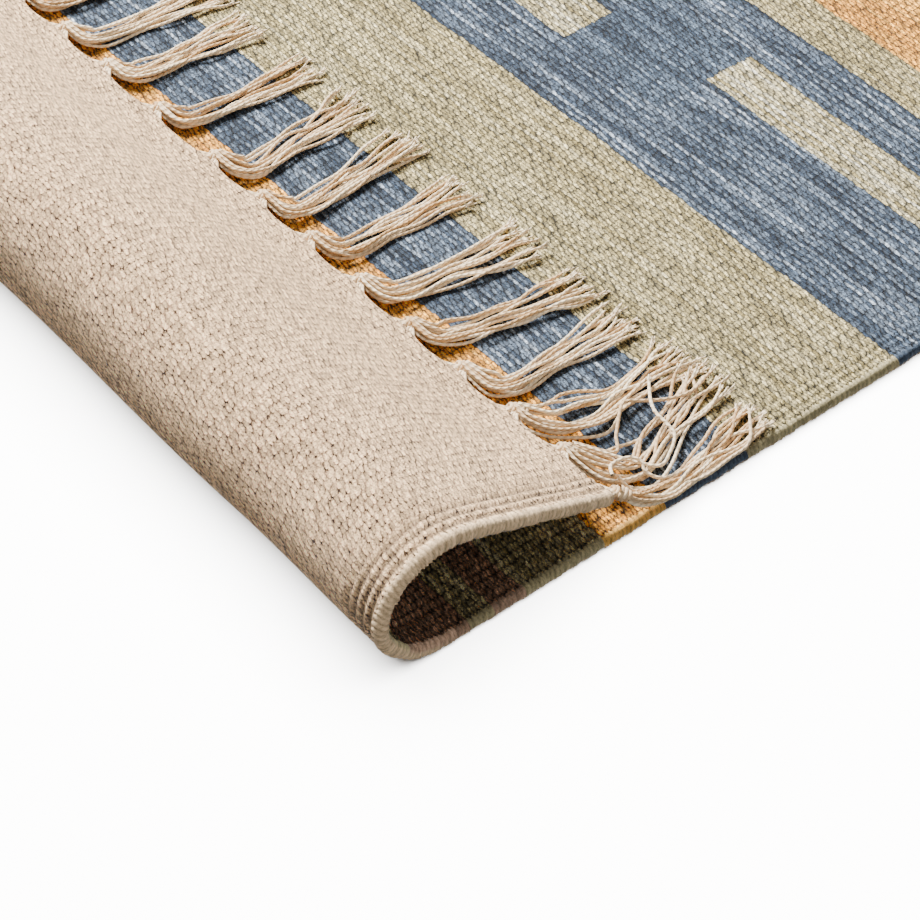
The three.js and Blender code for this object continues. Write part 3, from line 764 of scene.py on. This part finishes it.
for index, x in enumerate(far_knot_xs):
    knot = knot_place(np.array((x, FAR_Y, HALF_THICKNESS)), FAR_KNOT_AXIS, 0)
    sway, tip_sway = 3 * math.sin(1.9 * index + 0.4), 3 * math.sin(2.6 * index)
    reaches = np.array([0, 0.08, 0.2, 0.4, 0.6, 0.8, 0.95]) * STRAND_LENGTH
    middle = knot[:2] + np.column_stack([np.interp(reaches, [0, 30, STRAND_LENGTH], [0, sway, tip_sway]), reaches])
    lifts = (knot[2] - STRAND_RADIUS) * np.array([1, 0.5, 0, 0, 0, 0, 0])
    halves = np.array([1.2, 2.4, 3.6, 5, 6.5, 8, 10])
    lines = smooth_lines(bundle(middle, halves, 1, lifts, 0, 1.0), FAR_STEPS)
    gather_xs = np.clip(np.add(x, GATHER_SPREAD), EDGE_CLEARANCE - EDGE, EDGE - EDGE_CLEARANCE)
    edge_points = [np.array((gather_x, FAR_Y - GATHER_INSET, HALF_THICKNESS)) for gather_x in gather_xs]
    tassels.append(tassel_piece(f"far_end_tassel_{index + 1:02d}", f"far_tassel_{index + 1:02d}", knot,
                                FAR_KNOT_AXIS, edge_points, lines, 0))

# The floor, the light and the photo's view
# A plain pale floor, soft studio light from the left and the camera at the photo's angle. The floor gives
# no light back to the rug, so the shaded side of the fold keeps its depth.

FLOOR_SIZE = 12
FLOOR_DROP = 0.0004
floor_mesh = bpy.data.meshes.new("floor")
floor_half = FLOOR_SIZE / 2
floor_mesh.from_pydata([(-floor_half, -floor_half, 0), (floor_half, -floor_half, 0),
                        (floor_half, floor_half, 0), (-floor_half, floor_half, 0)], [], [(0, 1, 2, 3)])
floor = bpy.data.objects.new("floor", floor_mesh)
bpy.context.collection.objects.link(floor)
floor.location.z = -FLOOR_DROP
floor.visible_diffuse = False

# Matt white paint on a smooth board: even and pale, with no gloss to draw the eye.
paint = bpy.data.materials.new("matt white paint")
paint.use_nodes = True
paint_surface = paint.node_tree.nodes["Principled BSDF"]
paint_surface.inputs["Base Color"].default_value = to_linear("#f6f5f3")
paint_surface.inputs["Roughness"].default_value = 0.9
floor_mesh.materials.append(paint)

world = bpy.data.worlds.new("studio")
bpy.context.scene.world = world
world.use_nodes = True
world.node_tree.nodes["Background"].inputs["Color"].default_value = to_linear("#ffffff")
world.node_tree.nodes["Background"].inputs["Strength"].default_value = 0.25

# A key light from the left, a weak fill and a low bounce from the open side light the rug. A weak top light
# picks out the folded edges and the fringe, and a wide overhead light keeps the floor pale.
LIT = {"rug": [cloth, *rims, *tassels], "edges": [*fold_rims, *tassels], "floor": [floor]}
LIGHTS = [
    {"name": "key", "on": "rug", "place": (-1.55, -0.05, 1.45), "aim": (0.15, -0.3, 0), "size": 0.8, "watts": 322},
    {"name": "top", "on": "edges", "place": (1.3, -0.6, 2.2), "aim": (0.2, -0.35, 0), "size": 1.2, "watts": 18},
    {"name": "fill", "on": "rug", "place": (-0.4, -2.2, 1.5), "aim": (0.1, -0.35, 0), "size": 1.6, "watts": 6.5},
    {"name": "bounce", "on": "rug", "place": (1.5, -0.55, 0.25), "aim": (0.3, -0.39, 0.02), "size": 0.8, "watts": 3},
    {"name": "overhead", "on": "floor", "place": (0, 0, 3), "aim": (0, 0.01, 0), "size": 5, "watts": 2600},
]
for name, pieces in LIT.items():
    group = bpy.data.collections.new(name)
    for piece in pieces:
        group.objects.link(piece)
    LIT[name] = group
for row in LIGHTS:
    data = bpy.data.lights.new(row["name"], "AREA")
    data.size = row["size"]
    data.energy = row["watts"]
    lamp = bpy.data.objects.new(row["name"], data)
    bpy.context.collection.objects.link(lamp)
    lamp.location = row["place"]
    aim = np.subtract(row["aim"], row["place"])
    tilt = math.acos(-aim[2] / np.linalg.norm(aim))
    lamp.rotation_euler = (tilt, 0, math.atan2(aim[1], aim[0]) - math.pi / 2)
    lamp.light_linking.receiver_collection = LIT[row["on"]]

CAMERA = {"place": (911.7, FRONT_Y - 478.4, 872.1), "azimuth": 50.07, "elevation": 44.61, "lens": 139.0}
view = bpy.data.cameras.new("photo view")
view.sensor_width = 36
view.lens = CAMERA["lens"]
camera = bpy.data.objects.new("photo view", view)
bpy.context.collection.objects.link(camera)
camera.location = [value * MM for value in CAMERA["place"]]
camera.rotation_euler = (math.radians(90 - CAMERA["elevation"]), 0, math.radians(CAMERA["azimuth"]))
bpy.context.scene.camera = camera
